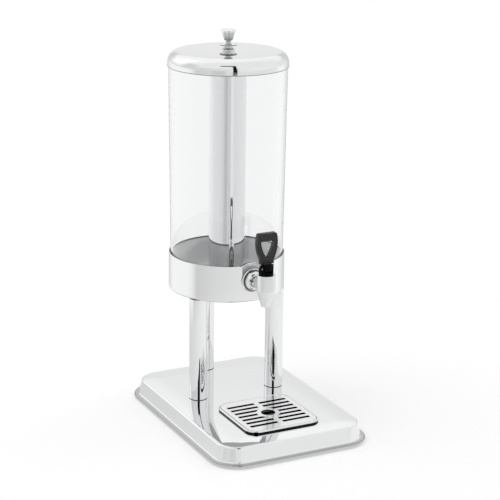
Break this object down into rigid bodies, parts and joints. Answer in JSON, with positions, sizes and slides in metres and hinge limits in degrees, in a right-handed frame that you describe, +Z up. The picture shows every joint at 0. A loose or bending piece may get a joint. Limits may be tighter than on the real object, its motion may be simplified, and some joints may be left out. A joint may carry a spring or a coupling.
{
  "type": "drink dispenser",
  "caption": "Countertop drink dispenser: clear tapered tank with an ice tube, domed lid and lever tap, in a steel cup on tube legs over a stamped base with a drip tray.",
  "frame": {"origin": "middle of the base's underside, on the worktop that the rubber feet stand on", "axes": "+Z up, -Y towards the tap and the user, +X to the right seen from the tap's side"},
  "size_m": [0.258, 0.36, 0.5982],
  "materials": {
    "mirror_steel": "mirror polished stainless steel",
    "brushed_steel": "finely brushed stainless steel",
    "plain_steel": "turned stainless steel",
    "satin_tap": "satin silver",
    "chromed_brass": "polished chrome",
    "clear_plastic": "clear, glossy",
    "black_plastic": "black, half gloss",
    "foot_rubber": "black, matt",
    "strip_silicone": "black silicone, matt",
    "gasket_silicone": "translucent white silicone"
  },
  "bodies": {
    "stand": {"base_pan": "mirror_steel", "rubber_feet": "foot_rubber", "leg_front_left": "mirror_steel", "leg_front_right": "mirror_steel", "leg_rear": "mirror_steel", "leg_plugs": "black_plastic", "leg_screws": "plain_steel", "leg_washers": "plain_steel", "cup_shell": "mirror_steel", "cup_strip": "strip_silicone", "tank_pad": "strip_silicone"},
    "tray": {"drip_tray": "mirror_steel"},
    "grate": {"drip_grate": "brushed_steel"},
    "tank": {"tank_shell": "clear_plastic", "ice_tube": "brushed_steel", "ice_tube_stud": "plain_steel", "ice_tube_gasket": "gasket_silicone", "ice_tube_washer": "plain_steel", "ice_tube_nut": "plain_steel", "tap_body": "satin_tap", "tap_rosette": "chromed_brass", "outer_gasket": "gasket_silicone", "inner_gasket": "gasket_silicone", "shank_washer": "plain_steel", "shank_nut": "plain_steel", "tap_bonnet": "black_plastic", "lever_pin": "plain_steel", "tap_spring": "plain_steel"},
    "valve": {"tap_stem": "plain_steel", "stem_pin": "plain_steel", "seat_plug": "gasket_silicone"},
    "lever": {"tap_lever": "black_plastic"},
    "lid": {"lid_dome": "mirror_steel", "lid_knob": "chromed_brass", "knob_screw": "plain_steel", "knob_washer": "plain_steel"}
  },
  "joints": [
    {"name": "tank_lift", "type": "slide", "parent": "stand", "child": "tank", "axis": [0, 0, 1], "range_m": [0, 0.075]},
    {"name": "lid_lift", "type": "slide", "parent": "tank", "child": "lid", "axis": [0, 0, 1], "range_m": [0, 0.08]},
    {"name": "tray_lift", "type": "slide", "parent": "stand", "child": "tray", "axis": [0, 0, 1], "range_m": [0, 0.05]},
    {"name": "grate_lift", "type": "slide", "parent": "tray", "child": "grate", "axis": [0, 0, 1], "range_m": [0, 0.03]},
    {"name": "lever_tilt", "type": "hinge", "parent": "tank", "child": "lever", "pos_m": [0, -0.0645, 0.26], "axis": [1, 0, 0], "range_deg": [0, 35], "stiffness_Nm_per_rad": 0.08, "springref_deg": -80.21},
    {"name": "valve_lift", "type": "slide", "parent": "tank", "child": "valve", "axis": [0, 0, 1], "range_m": [0, 0.0036], "deforming": ["tap_spring"]}
  ],
  "couplings": [
    {"joint": "valve_lift", "follows": "lever_tilt", "m_per_rad": 0.0057313}
  ]
}
